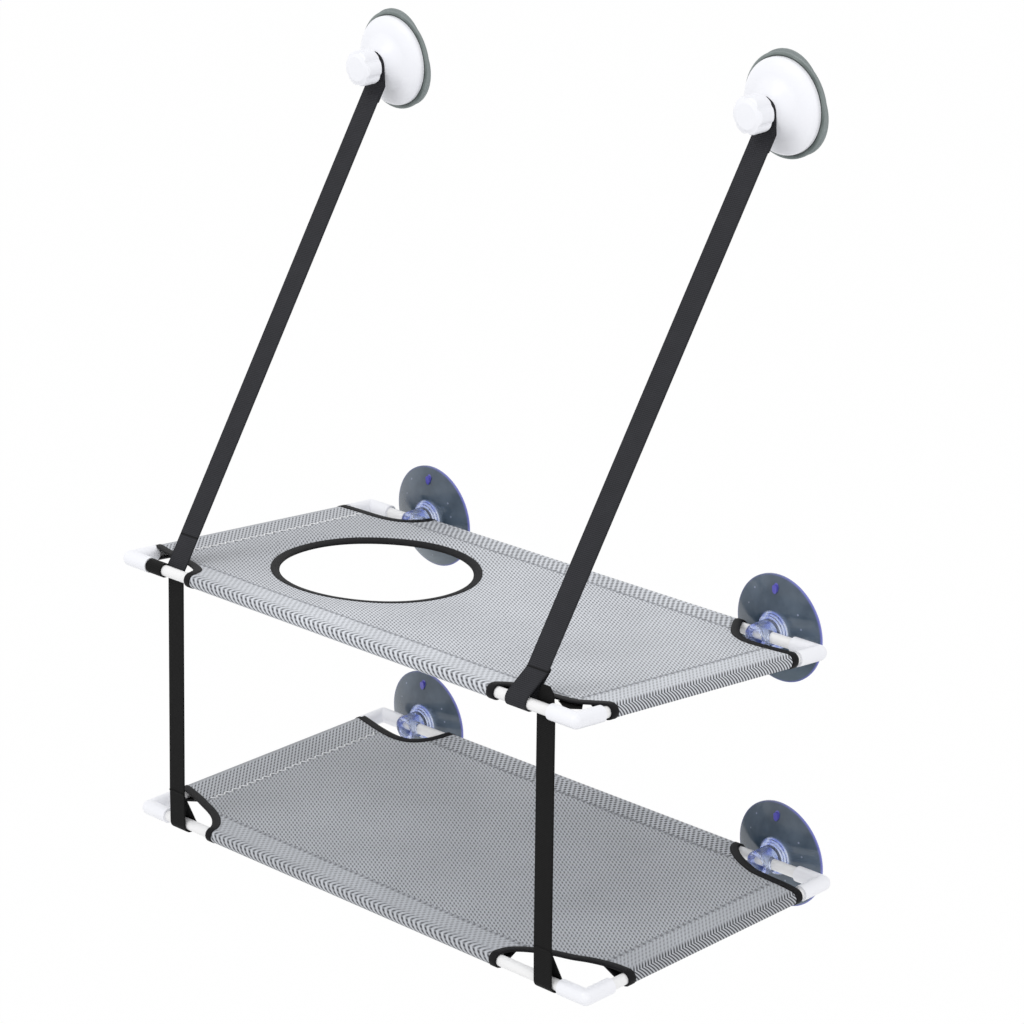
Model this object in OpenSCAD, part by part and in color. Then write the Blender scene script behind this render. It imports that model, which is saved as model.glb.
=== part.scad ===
// Two-tier cat perch that hangs on a window pane.
// X runs along the pane, Y points at the glass, Z is up.
// The origin is on the glass, midway between the upper pair of clear cups.
// Each deck turns about its rear tube, and both fold up against the pane.
// The lower deck hangs level and the upper one rises a little to the front.

/* [Decks] */
// Distance between the centre lines of the two side tubes
deck_w = 572; // [500:1:700]
// Distance between the centre lines of the front and rear tubes
deck_d = 288; // [240:1:360]
// Height from the lower rear tube to the upper rear tube
deck_gap = 215; // [190:1:300]
// Angle by which the upper deck's front is raised, in degrees
upper_tilt = 6; // [0:0.5:9]
// Outer diameter of the frame tubes
tube_d = 10; // [8:0.5:13]
// Wall of the frame tubes
tube_wall = 1.2; // [0.8:0.1:2]

/* [Elbows] */
// Wall of an elbow around the tube
elbow_wall = 2; // [1.2:0.1:3]
// Length of an elbow leg from the corner to its mouth
elbow_leg = 28; // [22:1:32]
// Depth that a tube goes into an elbow
elbow_insert = 20; // [12:1:20]
// Radial clearance of a tube in an elbow
elbow_fit = 0.05; // [0:0.01:0.1]

/* [Mesh covers] */
// Thickness of the mesh
mesh_t = 1.2; // [0.8:0.1:2]
// Clearance between a sleeve and its tube
sleeve_fit = 0.3; // [0.1:0.1:0.6]
// Distance from a tube's centre line to the seam of its sleeve
seam_inset = 24; // [18:1:30]
// Length of a corner cut-out along the front or rear tube
cutout_along = 89; // [86:1:110]
// Length of a corner cut-out along the side tube
cutout_across = 32; // [30:1:50]
// Width of the black tape that binds each cut edge
binding_w = 8; // [5:0.5:12]
// How far the tape stands out from the mesh
binding_lip = 0.6; // [0.3:0.1:1]

/* [Hole in the upper deck] */
// Clear diameter of the hole
hole_d = 174; // [120:1:190]
// Place of the hole from the middle of the deck, negative to the left
hole_x = -121; // [-130:1:130]
// Distance of the hole's centre in front of the rear tube
hole_inset = 139; // [135:1:150]

/* [Clear cups] */
// Diameter of a clear suction cup
clear_cup_d = 98; // [80:1:104]
// Thickness of the cup at its rim
clear_rim_t = 1.4; // [1:0.1:2]
// Height of the cup where the neck begins
clear_rise = 9.5; // [8:0.5:12]
// Depth of the hollow under the cup
clear_hollow = 4.5; // [2:0.5:6]
// Diameter of the neck that holds the rear tube
neck_d = 24; // [22:0.5:28]
// Diameter of the open socket in the end of the neck
neck_bore_d = 15.6; // [15:0.2:18]
// Distance from the glass to the centre of the rear tube
tube_standoff = 22; // [21:0.5:28]
// Length of neck in front of the rear tube's centre
neck_past_tube = 10; // [8:0.5:14]
// Radial running clearance of the rear tube in a neck
hinge_fit = 0.08; // [0.02:0.01:0.1]
// Distance of the upper left clear cup from the left side tube
upper_left_cup_inset = 66; // [58:1:71]
// Distance of the upper right clear cup from the right side tube
upper_right_cup_inset = 64; // [58:1:71]
// Distance of the lower left clear cup from the left side tube
lower_left_cup_inset = 42; // [41:1:71]
// Distance of the lower right clear cup from the right side tube
lower_right_cup_inset = 68; // [58:1:71]

/* [Top cups] */
// Distance of each top cup inwards from the side tube below it
top_cup_inset = 46; // [26:1:86]
// Height of the left top cup above the upper rear tube
top_left_cup_z = 436; // [400:1:520]
// Height of the right top cup above the upper rear tube
top_right_cup_z = 464; // [400:1:520]
// Diameter of the rubber disc
rubber_d = 90; // [87:1:104]
// Thickness of the rubber disc at its rim
rubber_rim_t = 1.6; // [1.2:0.1:2.4]
// Thickness of the rubber between rim and boss
rubber_t = 2.6; // [2:0.1:3.5]
// Depth of the hollow under the tightened rubber
rubber_hollow = 5; // [4:0.5:6]
// How far the release tabs stand out past the rubber's rim
rubber_tab = 2.5; // [1.5:0.1:4]
// Diameter of the white cap
cap_d = 82; // [74:1:84]
// Wall of the white cap
cap_wall = 2.2; // [1.6:0.1:3]
// Height of the cap's dome above its rim
cap_dome = 10.5; // [8:0.5:14]
// Diameter of the collar that carries the strap
collar_d = 16; // [14:0.5:18]
// Length of the collar
collar_len = 4.2; // [3.8:0.1:6]

/* [Knobs and studs] */
// Diameter over the lobes of a knob
knob_d = 33; // [28:1:40]
// Thickness of a knob
knob_t = 18; // [14:0.5:22]
// Number of lobes on a knob
knob_lobes = 6; // [5:1:8]
// Diameter of the pulling stud
stud_d = 8; // [6:0.5:9]
// Radial running clearance of the stud in the knob
stud_fit = 0.08; // [0.02:0.01:0.1]

/* [Straps] */
// Width of the hanging straps' webbing
strap_w = 24; // [20:0.5:25]
// Width of the drop straps' webbing
drop_strap_w = 21; // [18:0.5:25]
// Thickness of the webbing
strap_t = 1.3; // [1:0.1:2]
// Clearance between a strap loop and its rail
loop_fit = 0.3; // [0.2:0.1:0.5]
// Gap between the two straps that share a rail end
strap_gap = 0.5; // [0.3:0.1:2]
// Gap between the left hanging strap's end and the elbow's mouth
left_strap_to_elbow = 0.5; // [0.3:0.1:3]
// Gap between the right drop strap and the elbow's mouth
right_strap_to_elbow = 2.5; // [0.3:0.1:6]
// Distance of the two left straps from the left side tube
left_straps_inset = 54.5; // [50:0.5:59]
// Length of the sewn tail of a strap loop
loop_tail = 32; // [24:1:45]

/* [Hidden] */

$fn = 64;

// Overrun that every cut shares
cut = 1;

// Frame sizes that follow the driving ones
tube_r = tube_d / 2;
elbow_r = tube_r + elbow_fit + elbow_wall;
lower_z = -deck_gap;
tube_setback = elbow_leg - elbow_insert;

// Places of the front rails, in Y and Z
upper_rail = [-tube_standoff - deck_d * cos(upper_tilt), deck_d * sin(upper_tilt)];
lower_rail = [-tube_standoff - deck_d, lower_z];

// Sleeve section
sleeve_ri = tube_r + sleeve_fit;
sleeve_ro = sleeve_ri + mesh_t;
// Clearance left between the tape and the tube
tape_fit = 0.1;
cutout_steps = 16;

// Clear cup details
upper_left_cup_x = upper_left_cup_inset - deck_w / 2;
upper_right_cup_x = deck_w / 2 - upper_right_cup_inset;
lower_left_cup_x = lower_left_cup_inset - deck_w / 2;
lower_right_cup_x = deck_w / 2 - lower_right_cup_inset;
clear_r = clear_cup_d / 2;
neck_r = neck_d / 2;
neck_bore_r = neck_bore_d / 2;
neck_len = tube_standoff + neck_past_tube;
neck_floor = tube_standoff - neck_bore_r;
flange_step = 1.8;
flange_rise = 1.8;
lip_r = 1.2;
clear_seal_w = 3;
clear_tab_w = 5;
clear_tab_len = 8.5;
clear_tab_rise = 5.4;
clear_tab_share = 0.75;

// Top cup details
top_cup_x = deck_w / 2 - top_cup_inset;
rubber_r = rubber_d / 2;
cap_r = cap_d / 2;
cap_seat_h = 2 * rubber_rim_t;
seat_w = 3.4;
rubber_seal_w = 4;
rubber_boss_r = 13;
rubber_boss_rise = 1.9;
rubber_boss_h = rubber_hollow + rubber_t + rubber_boss_rise;
tab_share = 0.8;
tab_angles = [80, -25];
cap_rim_h = 2.4;
cap_steps = 24;
cone_r = 27;
cone_top_r = 11.5;
cone_h = 8.4;
cone_power = 1.7;
cap_shoulder_h = cap_seat_h + cap_rim_h + cap_dome + cone_h;
collar_r = collar_d / 2;
collar_end_h = cap_shoulder_h + collar_len;

// Stud and knob details
stud_r = stud_d / 2;
stud_head_r = 11;
stud_head_t = 2.5;
stud_tip_gap = 0.6;
stud_guide_fit = 0.4;
knob_r = knob_d / 2;
knob_hub_r = 11;
knob_hub_h = 2;
knob_cap_t = 3;
lobe_share = 0.44;
lobe_r = knob_r * lobe_share;
knob_notch = 2.2;
knob_edge_r = 2.6;
knob_crown = 1.2;

// Strap places on the rails
elbow_mouth_x = deck_w / 2 - elbow_leg;
left_strap_x = left_straps_inset - deck_w / 2;
left_end_x = left_strap_to_elbow + drop_strap_w / 2 - elbow_mouth_x;
right_drop_x = elbow_mouth_x - right_strap_to_elbow - drop_strap_w / 2;
right_strap_x = right_drop_x - drop_strap_w / 2 - strap_gap - strap_w / 2;
loop_ri = tube_r + loop_fit;
loop_ro = loop_ri + strap_t;
loop_rm = (loop_ri + loop_ro) / 2;
// How far past a rail's centre a strap's outline goes
strap_reach = 2 * loop_ro;
// Turn from one point of a strap's loop to the next
loop_step = 11.25;
// How far the right strap's run stands to the right of its loop
right_run_shift = 10;
// How far the drop straps lean to the left on their way down
drop_lean_left = 5.5;
drop_lean_right = 3;

// Strap end on the collar
eyelet_fit = 0.4;
strap_seat_gap = 0.3;
eyelet_above = 14;
eyelet_below = knob_r + 2;
eyelet_sewn = 16;
strap_plate_h = cap_shoulder_h + strap_seat_gap;
strap_turn_y = -strap_plate_h - 3 * strap_t / 2;
function top_cup_z(side) = side < 0 ? top_left_cup_z : top_right_cup_z;
function strap_turn(side) = [strap_turn_y, top_cup_z(side) - eyelet_below];

// Top, side and foot of the folded end that stands up on the right drop strap
fold_rise = 18;
fold_side = 12;
fold_low = 8;
// Drop of the left drop strap's end under the rail's centre
drop_end = 3;

function arc_points(cx, cy, r, from, to, steps) =
    [for (i = [0 : steps]) let (a = from + (to - from) * i / steps) [cx + r * cos(a), cy + r * sin(a)]];

// Points of a shallow dish from its rim inwards
function dish_points(r_out, r_in, low, rise, steps) =
    [for (i = [0 : steps]) let (r = r_out + (r_in - r_out) * i / steps) [r, low + rise * (1 - pow(r / r_out, 2))]];

// Direction across a band at one point of its line, mitred where the line turns
function across_line(line, i) =
    let (
        last = len(line) - 1,
        before = line[max(i, 1)] - line[max(i, 1) - 1],
        after = line[min(i + 1, last)] - line[min(i, last - 1)],
        n0 = [-before[1], before[0]] / norm(before),
        n1 = [-after[1], after[0]] / norm(after)
    )
    (n0 + n1) / (1 + n0 * n1);

// A line moved sideways, to the left of its direction
function edge_points(line, off) = [for (i = [0 : len(line) - 1]) line[i] + off * across_line(line, i)];

function reversed(list) = [for (i = [len(list) - 1 : -1 : 0]) list[i]];

// A point's place in a frame turned by an angle
function turned(p, a) = [p[0] * cos(a) + p[1] * sin(a), p[1] * cos(a) - p[0] * sin(a)];

// Angle, from +Y, of a run that leaves a ring around the rail for the turn under the knob
function run_angle(side) =
    let (d = strap_turn(side) - upper_rail)
    atan2(d[1], d[0]) - side * asin(loop_rm / norm(d));

// Angle at which the second layer of a sewn loop leaves the bar
function foot_angle(r, tail) = 90 - 2 * atan2(tail, r);

// Distance from the bar at which the second layer reaches the back of the first
function join_reach(ri, ro, foot) = (ro - ri * sin(foot)) / cos(foot);

// Points round a bar, one at each step of the turn
function bar_arc(r, from, to) = arc_points(0, 0, r, from, to, round(abs(to - from) / loop_step));

// Where the second layer of a strap's loop leaves its ring, and where it meets the first layer
loop_foot = foot_angle(loop_ro, loop_tail);
loop_join = [join_reach(loop_ri, loop_ro, loop_foot), loop_rm];

// Upper end and turn of a hanging strap, about the rail, with X along its run
function hanging_top(side) = [for (up = [eyelet_below + eyelet_above, 0])
    turned(strap_turn(side) + [0, up] - upper_rail, run_angle(side))];

// Edges of a hanging strap down to an end, on the room side and on the glass side
function room_edge(side, end) = edge_points(concat(hanging_top(side), [end]), -strap_t / 2);
function glass_edge(side, end) =
    let (top = hanging_top(side), sewn = top[1] - [eyelet_sewn, 0])
    concat(
        reversed(edge_points([sewn, end], strap_t / 2)),
        reversed(edge_points(concat(top, [sewn]), 3 * strap_t / 2))
    );

module along_x(len) {
    rotate([90, 0, 90])
        linear_extrude(len, center = true)
            children();
}

module along_y(len) {
    rotate([90, 0, 0])
        linear_extrude(len, center = true)
            children();
}

// Places what is drawn on the glass: drawn height becomes distance into the room
module on_glass(x, z) {
    translate([x, 0, z])
        rotate([90, 0, 0])
            children();
}

module place_deck(z, tilt) {
    translate([0, -tube_standoff, z])
        rotate([-tilt, 0, 0])
            children();
}

module at_rail(rail) {
    translate(rail)
        children();
}

// Section of a sewn loop round a bar: a straight layer along +X and one that slants back to it
module loop_section(ri, t, tail) {
    ro = ri + t;
    foot = foot_angle(ro, tail);
    difference() {
        polygon(concat(
            [[join_reach(ri, ro, foot), ri], [tail, ri], [tail, ro]],
            bar_arc(ro, 90, 360 + foot)
        ));
        polygon(concat([[tail * ri / ro, ri]], bar_arc(ri, 90, 360 + foot)));
    }
}

// Frame

module straight_tube(len) {
    difference() {
        cylinder(h = len, r = tube_r, center = true);
        cylinder(h = len + 2 * cut, r = tube_r - tube_wall, center = true);
    }
}

module cross_tube(y) {
    color("white")
        translate([0, y, 0])
            rotate([0, 90, 0])
                straight_tube(deck_w - 2 * tube_setback);
}

module side_tube(side) {
    color("white")
        translate([side * deck_w / 2, -deck_d / 2, 0])
            rotate([90, 0, 0])
                straight_tube(deck_d - 2 * tube_setback);
}

// An elbow at the origin with its legs along -X and -Y
module elbow() {
    color("white")
        difference() {
            union() {
                sphere(r = elbow_r);
                rotate([0, -90, 0])
                    cylinder(h = elbow_leg, r = elbow_r);
                rotate([90, 0, 0])
                    cylinder(h = elbow_leg, r = elbow_r);
            }
            rotate([0, -90, 0])
                elbow_bore();
            rotate([90, 0, 0])
                elbow_bore();
            sphere(r = tube_r - tube_wall);
        }
}

// Socket for a tube's end, and the passage on from it to the corner
module elbow_bore() {
    translate([0, 0, tube_setback])
        cylinder(h = elbow_insert + cut, r = tube_r + elbow_fit);
    cylinder(h = tube_setback + cut, r = tube_r - tube_wall);
}

module corner_elbow(side, at_front) {
    translate([side * deck_w / 2, at_front ? -deck_d : 0, 0])
        mirror([side < 0 ? 1 : 0, 0, 0])
            mirror([0, at_front ? 1 : 0, 0])
                elbow();
}

// Covers

// Plan of one corner cut-out, grown by a margin: a quarter of an ellipse about the corner, which is the origin
module cutout_plan(margin) {
    along = cutout_along + margin;
    across = cutout_across + margin;
    past = elbow_leg;
    polygon(concat(
        [[-past, -past], [along, -past]],
        [for (i = [0 : cutout_steps]) let (a = 90 * i / cutout_steps) [along * cos(a), across * sin(a)]],
        [[-past, across]]
    ));
}

// Repeats a plan at the four corners of a deck
module at_corners() {
    for (side = [-1, 1], front = [0, 1])
        translate([side * deck_w / 2, -front * deck_d])
            mirror([side > 0 ? 1 : 0, 0])
                mirror([0, front > 0 ? 0 : 1])
                    children();
}

// The cover before its edges are cut: panel and four sleeves, grown by a skin
module cover_body(skin) {
    ri = sleeve_ri - min(skin, sleeve_fit - tape_fit);
    ro = sleeve_ro + skin;
    panel_low = sleeve_ri - skin;
    translate([-deck_w / 2, -deck_d, panel_low])
        cube([deck_w, deck_d, ro - panel_low]);
    for (front = [0, 1])
        translate([0, -front * deck_d, 0])
            mirror([0, front > 0 ? 0 : 1, 0])
                along_x(deck_w - 2 * cutout_along)
                    loop_section(ri, ro - ri, seam_inset + skin);
    for (side = [-1, 1])
        translate([side * deck_w / 2, -deck_d / 2, 0])
            mirror([side > 0 ? 1 : 0, 0, 0])
                along_y(deck_d - 2 * cutout_across)
                    loop_section(ri, ro - ri, seam_inset + skin);
}

module corner_prism(margin) {
    depth = 4 * sleeve_ro;
    translate([0, 0, -depth / 2])
        linear_extrude(depth)
            at_corners()
                cutout_plan(margin);
}

module mesh_cover(has_hole) {
    color("lightgray")
        difference() {
            cover_body(0);
            corner_prism(binding_w);
            if (has_hole)
                hole_place()
                    cylinder(h = 4 * sleeve_ro, r = hole_d / 2 + binding_w, center = true);
        }
}

module edge_binding() {
    color("black")
        difference() {
            intersection() {
                cover_body(binding_lip);
                corner_prism(binding_w);
            }
            corner_prism(0);
        }
}

module hole_place() {
    translate([hole_x, -hole_inset, 0])
        children();
}

module hole_binding() {
    low = sleeve_ri - binding_lip;
    high = sleeve_ro + binding_lip;
    color("black")
        hole_place()
            rotate_extrude()
                translate([hole_d / 2, low])
                    square([binding_w, high - low]);
}

// Clear suction cups

module clear_cup_section() {
    flange_r = neck_r + 2 * flange_step;
    dish = dish_points(clear_r, flange_r, clear_rim_t, clear_rise - clear_rim_t, 10);
    hollow = dish_points(clear_r - clear_seal_w, 0, 0, clear_hollow, 10);
    scale_up = clear_rise / dish[len(dish) - 1][1];
    polygon(concat(
        [[clear_r, 0]],
        [for (p = dish) [p[0], clear_rim_t + (p[1] - clear_rim_t) * scale_up]],
        [[flange_r, clear_rise + flange_rise],
         [neck_r + flange_step, clear_rise + flange_rise],
         [neck_r + flange_step, clear_rise + 2 * flange_rise],
         [neck_r, clear_rise + 2 * flange_rise]],
        arc_points(neck_r - lip_r, neck_len - lip_r, lip_r, 0, 90, 4),
        [[0, neck_len]],
        [for (i = [len(hollow) - 1 : -1 : 0]) hollow[i]]
    ));
}

module clear_tab() {
    straight = (clear_tab_len - clear_tab_w) / 2;
    translate([0, clear_r * clear_tab_share, clear_rim_t]) {
        for (end = [-1, 1])
            translate([0, end * straight, 0])
                cylinder(h = clear_tab_rise, r = clear_tab_w / 2);
        translate([-clear_tab_w / 2, -straight, 0])
            cube([clear_tab_w, 2 * straight, clear_tab_rise]);
    }
}

module clear_cup(x, z) {
    color([0.72, 0.82, 0.96, 0.6])
        on_glass(x, z)
            difference() {
                union() {
                    rotate_extrude()
                        clear_cup_section();
                    clear_tab();
                }
                translate([0, 0, neck_floor])
                    cylinder(h = neck_len, r = neck_bore_r);
                translate([0, 0, tube_standoff])
                    rotate([0, 90, 0])
                        cylinder(h = clear_cup_d, r = tube_r + hinge_fit, center = true);
            }
}

// Top cups

module rubber_section() {
    hollow = dish_points(rubber_r - rubber_seal_w, 0, 0, rubber_hollow, 10);
    seat_in = cap_r - seat_w;
    skin = dish_points(seat_in, rubber_boss_r, cap_seat_h, rubber_hollow - rubber_rim_t / 2, 8);
    polygon(concat(
        [[rubber_r, 0], [rubber_r, rubber_rim_t], [cap_r + rubber_rim_t / 2, cap_seat_h]],
        skin,
        [[rubber_boss_r, rubber_boss_h], [0, rubber_boss_h]],
        [for (i = [len(hollow) - 1 : -1 : 0]) hollow[i]]
    ));
}

// A crescent that stands out past the rubber's rim
module release_tab(angle) {
    tab_r = rubber_r * tab_share;
    rotate(angle)
        linear_extrude(rubber_rim_t)
            difference() {
                translate([rubber_r + rubber_tab - tab_r, 0])
                    circle(tab_r);
                circle(rubber_r - rubber_tab / 2);
            }
}

module rubber_disc(side) {
    color([0.55, 0.6, 0.6])
        on_glass(side * top_cup_x, top_cup_z(side)) {
            rotate_extrude()
                rubber_section();
            for (angle = tab_angles)
                release_tab(angle);
        }
}

// Half section of the cap from a low edge up, drawn smaller by a wall for its inside
module cap_section(inset, low) {
    rim_r = cap_r - inset;
    rim = cap_seat_h + cap_rim_h - inset;
    last = acos(cone_top_r / rim_r);
    cone_full = cone_h + cap_dome * (1 - sin(last));
    polygon(concat(
        [[0, low], [rim_r, low]],
        [for (i = [0 : cap_steps])
            let (a = last * i / cap_steps, r = rim_r * cos(a), up = max(0, cone_r - r) / (cone_r - cone_top_r))
            [r, rim + cap_dome * sin(a) + cone_full * pow(up, cone_power)]],
        [[0, rim + cap_dome + cone_h]]
    ));
}

module cup_cap(side) {
    color("white")
        on_glass(side * top_cup_x, top_cup_z(side))
            difference() {
                union() {
                    rotate_extrude()
                        cap_section(0, cap_seat_h);
                    translate([0, 0, cap_shoulder_h - cut])
                        cylinder(h = collar_len + cut, r = collar_r);
                }
                rotate_extrude()
                    cap_section(cap_wall, cap_seat_h - cut);
                cylinder(h = collar_end_h + cut, r = stud_r + stud_guide_fit);
            }
}

module pull_stud(side) {
    tip_h = collar_end_h + knob_hub_h + knob_t - knob_cap_t - stud_tip_gap;
    color("silver")
        on_glass(side * top_cup_x, top_cup_z(side)) {
            translate([0, 0, rubber_boss_h])
                cylinder(h = stud_head_t, r = stud_head_r);
            translate([0, 0, rubber_boss_h])
                cylinder(h = tip_h - rubber_boss_h, r = stud_r);
        }
}

module knob_plan() {
    circle(knob_r - knob_notch);
    for (i = [0 : knob_lobes - 1])
        rotate(360 * i / knob_lobes)
            translate([knob_r - lobe_r, 0])
                circle(lobe_r);
}

module knob_barrel() {
    edge = knob_r - knob_edge_r;
    polygon(concat(
        [[0, 0]],
        arc_points(edge, knob_edge_r, knob_edge_r, -90, 0, 4),
        arc_points(edge, knob_t - knob_edge_r - knob_crown, knob_edge_r, 0, 90, 4),
        [[knob_hub_r, knob_t], [0, knob_t]]
    ));
}

module knob(side) {
    color("white")
        on_glass(side * top_cup_x, top_cup_z(side))
            translate([0, 0, collar_end_h])
                difference() {
                    union() {
                        cylinder(h = knob_hub_h + cut, r = knob_hub_r);
                        translate([0, 0, knob_hub_h])
                            intersection() {
                                linear_extrude(knob_t)
                                    knob_plan();
                                rotate_extrude()
                                    knob_barrel();
                            }
                    }
                    translate([0, 0, -cut])
                        cylinder(h = knob_hub_h + knob_t - knob_cap_t + cut, r = stud_r + stud_fit);
                }
}

// Straps

// Webbing: a section in Y and Z, cut to its outline in X and Z
module webbing(outline) {
    intersection() {
        along_x(2 * deck_w)
            children();
        along_y(4 * deck_d)
            polygon(outline);
    }
}

// Outline of a strap of even width through places in X and Z, from the top down
function strap_outline(w, places) = concat(
    [for (p = places) [p[0] - w / 2, p[1]]],
    [for (i = [len(places) - 1 : -1 : 0]) [places[i][0] + w / 2, places[i][1]]]
);

// Section of webbing that comes along +X to a bar, goes round it and back to a seam
module sewn_section(front_edge, back_edge) {
    difference() {
        polygon(concat(front_edge, bar_arc(loop_ro, 90, 360 + loop_foot), back_edge));
        polygon(concat(
            [[loop_tail * loop_ri / loop_ro, loop_ri]],
            bar_arc(loop_ri, 90, 360 + loop_foot)
        ));
    }
}

module collar_hole(side) {
    on_glass(side * top_cup_x, top_cup_z(side))
        cylinder(h = strap_plate_h + 4 * strap_t, r = collar_r + eyelet_fit);
}

// Outline of a hanging strap in X and Z: a round end about the collar, the turn under the knob, lower places
function hanging_outline(side, low) = concat(
    arc_points(side * top_cup_x, top_cup_z(side), strap_w / 2, 15, 165, 10),
    strap_outline(strap_w, concat(
        [for (up = [eyelet_below, 0]) [side * top_cup_x, strap_turn(side)[1] + up]],
        low
    ))
);

// The right strap ends in a sewn loop over the front of the rail
module hanging_strap_right() {
    a = run_angle(1);
    low = [
        [right_strap_x + right_run_shift, upper_rail[1] + loop_tail * sin(a)],
        [right_strap_x, upper_rail[1] + loop_ro],
        [right_strap_x, upper_rail[1] - strap_reach]
    ];
    color([0.12, 0.12, 0.13])
        difference() {
            webbing(hanging_outline(1, low))
                at_rail(upper_rail)
                    rotate(a)
                        sewn_section(room_edge(1, loop_join), glass_edge(1, loop_join));
            collar_hole(1);
        }
}

// Quarter of a ring from the back of the rail, under it, to its front
function under_rail(r) = bar_arc(r, -90, -180);

// The left strap passes behind the rail, under it, and round it nearer the elbow
module hanging_strap_left() {
    end = [0, -loop_rm];
    a = run_angle(-1);
    low = [[left_strap_x, upper_rail[1] + loop_ro], [left_strap_x, upper_rail[1] - strap_reach]];
    color([0.12, 0.12, 0.13]) {
        difference() {
            webbing(hanging_outline(-1, low))
                at_rail(upper_rail)
                    rotate(a)
                        polygon(concat(
                            room_edge(-1, end), under_rail(loop_ri),
                            reversed(under_rail(loop_ro)), glass_edge(-1, end)
                        ));
            collar_hole(-1);
        }
        translate([left_end_x, 0, 0])
            along_x(drop_strap_w)
                at_rail(upper_rail)
                    rotate(a)
                        difference() {
                            polygon(bar_arc(loop_ro, 0, 360));
                            polygon(bar_arc(loop_ri, 0, 360));
                        }
    }
}

// Section of a drop strap, from its upper end to its sewn loop round the lower rail
module drop_section(line) {
    path = concat([for (p = line) turned(upper_rail + p - lower_rail, 90)], [loop_join]);
    at_rail(lower_rail)
        rotate(90)
            sewn_section(edge_points(path, -strap_t / 2), reversed(edge_points(path, strap_t / 2)));
}

// Places of a drop strap in X and Z round the lower rail
function drop_low(x) = [[x, lower_z + loop_tail], [x, lower_z - strap_reach]];

// The left drop strap starts behind the hanging strap, just under the rail
module drop_strap_left() {
    start = [loop_rm + strap_t + loop_fit, -drop_end];
    places = concat([[left_strap_x, upper_rail[1] - drop_end]], drop_low(left_strap_x - drop_lean_left));
    color([0.1, 0.1, 0.1])
        webbing(strap_outline(drop_strap_w, places))
            drop_section([start]);
}

// The right drop strap ends in a folded corner that stands up behind the rail
module drop_strap_right() {
    fold_places = [
        [1, -fold_low], [1, fold_side], [0.6, fold_rise], [-0.2, fold_rise], [-0.9, loop_ro], [-1, -fold_low]
    ];
    fold = [for (p = fold_places) [right_drop_x + p[0] * drop_strap_w / 2, upper_rail[1] + p[1]]];
    color([0.1, 0.1, 0.1])
        webbing(concat(fold, strap_outline(drop_strap_w, drop_low(right_drop_x - drop_lean_right))))
            drop_section([[loop_rm, fold_rise], [loop_rm, -fold_low]]);
}

place_deck(0, upper_tilt) cross_tube(-deck_d);  // upper_front_tube
place_deck(0, upper_tilt) cross_tube(0);  // upper_rear_tube
place_deck(0, upper_tilt) side_tube(-1);  // upper_left_tube
place_deck(0, upper_tilt) side_tube(1);  // upper_right_tube
place_deck(0, upper_tilt) corner_elbow(-1, true);  // upper_elbow_front_left
place_deck(0, upper_tilt) corner_elbow(1, true);  // upper_elbow_front_right
place_deck(0, upper_tilt) corner_elbow(-1, false);  // upper_elbow_rear_left
place_deck(0, upper_tilt) corner_elbow(1, false);  // upper_elbow_rear_right
place_deck(0, upper_tilt) mesh_cover(true);  // upper_mesh_cover
place_deck(0, upper_tilt) edge_binding();  // upper_edge_binding
place_deck(0, upper_tilt) hole_binding();  // upper_hole_binding
place_deck(lower_z, 0) cross_tube(-deck_d);  // lower_front_tube
place_deck(lower_z, 0) cross_tube(0);  // lower_rear_tube
place_deck(lower_z, 0) side_tube(-1);  // lower_left_tube
place_deck(lower_z, 0) side_tube(1);  // lower_right_tube
place_deck(lower_z, 0) corner_elbow(-1, true);  // lower_elbow_front_left
place_deck(lower_z, 0) corner_elbow(1, true);  // lower_elbow_front_right
place_deck(lower_z, 0) corner_elbow(-1, false);  // lower_elbow_rear_left
place_deck(lower_z, 0) corner_elbow(1, false);  // lower_elbow_rear_right
place_deck(lower_z, 0) mesh_cover(false);  // lower_mesh_cover
place_deck(lower_z, 0) edge_binding();  // lower_edge_binding
clear_cup(upper_left_cup_x, 0);  // upper_clear_cup_left
clear_cup(upper_right_cup_x, 0);  // upper_clear_cup_right
clear_cup(lower_left_cup_x, lower_z);  // lower_clear_cup_left
clear_cup(lower_right_cup_x, lower_z);  // lower_clear_cup_right
rubber_disc(-1);  // rubber_disc_left
rubber_disc(1);  // rubber_disc_right
cup_cap(-1);  // cup_cap_left
cup_cap(1);  // cup_cap_right
pull_stud(-1);  // pull_stud_left
pull_stud(1);  // pull_stud_right
knob(-1);  // knob_left
knob(1);  // knob_right
hanging_strap_left();
hanging_strap_right();
drop_strap_left();
drop_strap_right();
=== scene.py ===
import math

import bmesh
import bpy
from mathutils import Matrix, Vector, noise


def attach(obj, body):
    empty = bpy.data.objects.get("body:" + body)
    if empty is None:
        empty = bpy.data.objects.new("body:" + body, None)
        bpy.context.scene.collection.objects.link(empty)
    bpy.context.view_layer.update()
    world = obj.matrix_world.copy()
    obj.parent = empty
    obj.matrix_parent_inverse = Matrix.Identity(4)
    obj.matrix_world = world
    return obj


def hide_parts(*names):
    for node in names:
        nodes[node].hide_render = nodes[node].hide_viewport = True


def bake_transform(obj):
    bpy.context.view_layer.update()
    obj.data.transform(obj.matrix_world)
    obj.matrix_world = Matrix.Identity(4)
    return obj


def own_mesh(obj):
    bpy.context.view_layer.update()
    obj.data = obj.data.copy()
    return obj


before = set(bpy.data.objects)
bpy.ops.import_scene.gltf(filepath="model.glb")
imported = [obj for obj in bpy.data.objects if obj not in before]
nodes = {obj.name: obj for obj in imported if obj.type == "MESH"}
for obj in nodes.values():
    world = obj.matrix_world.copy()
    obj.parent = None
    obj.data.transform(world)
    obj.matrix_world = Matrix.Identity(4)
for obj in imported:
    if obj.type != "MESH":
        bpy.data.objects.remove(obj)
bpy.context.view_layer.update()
print("frame loaded:", len(nodes), "nodes")

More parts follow.
